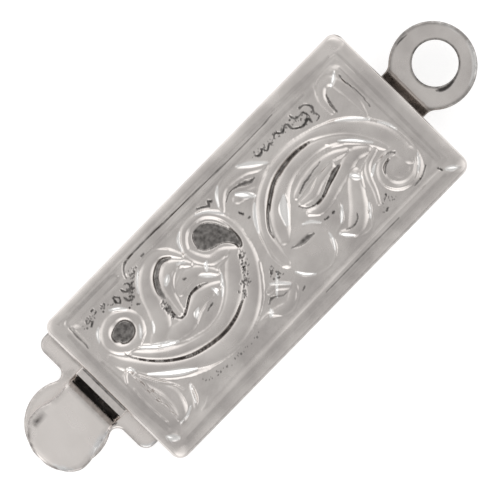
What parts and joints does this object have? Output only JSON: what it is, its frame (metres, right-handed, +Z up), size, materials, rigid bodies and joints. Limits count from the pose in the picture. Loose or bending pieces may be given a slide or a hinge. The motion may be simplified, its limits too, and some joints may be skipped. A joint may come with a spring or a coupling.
{
  "type": "box clasp",
  "caption": "Rectangular box clasp with scroll relief, an end ring and a folded spring tongue with a thumb tab; it fastens a necklace or bracelet.",
  "frame": {"origin": "middle of the box's flat back, with the tongue home in the box", "axes": "+X from the mouth to the end ring, +Y across the box, +Z up out of the stamped face"},
  "size_m": [0.0231, 0.0074, 0.003],
  "materials": {
    "box_silver": "polished silver, darkened in the deepest cuts of the relief",
    "tongue_silver": "polished silver sheet with tumbled edges"
  },
  "bodies": {
    "case": {"box": "box_silver"},
    "slider": {"tongue": "tongue_silver"}
  },
  "joints": [
    {"name": "tongue_slide", "type": "slide", "parent": "case", "child": "slider", "axis": [-1, 0, 0], "range_m": [0, 0.0134]}
  ]
}
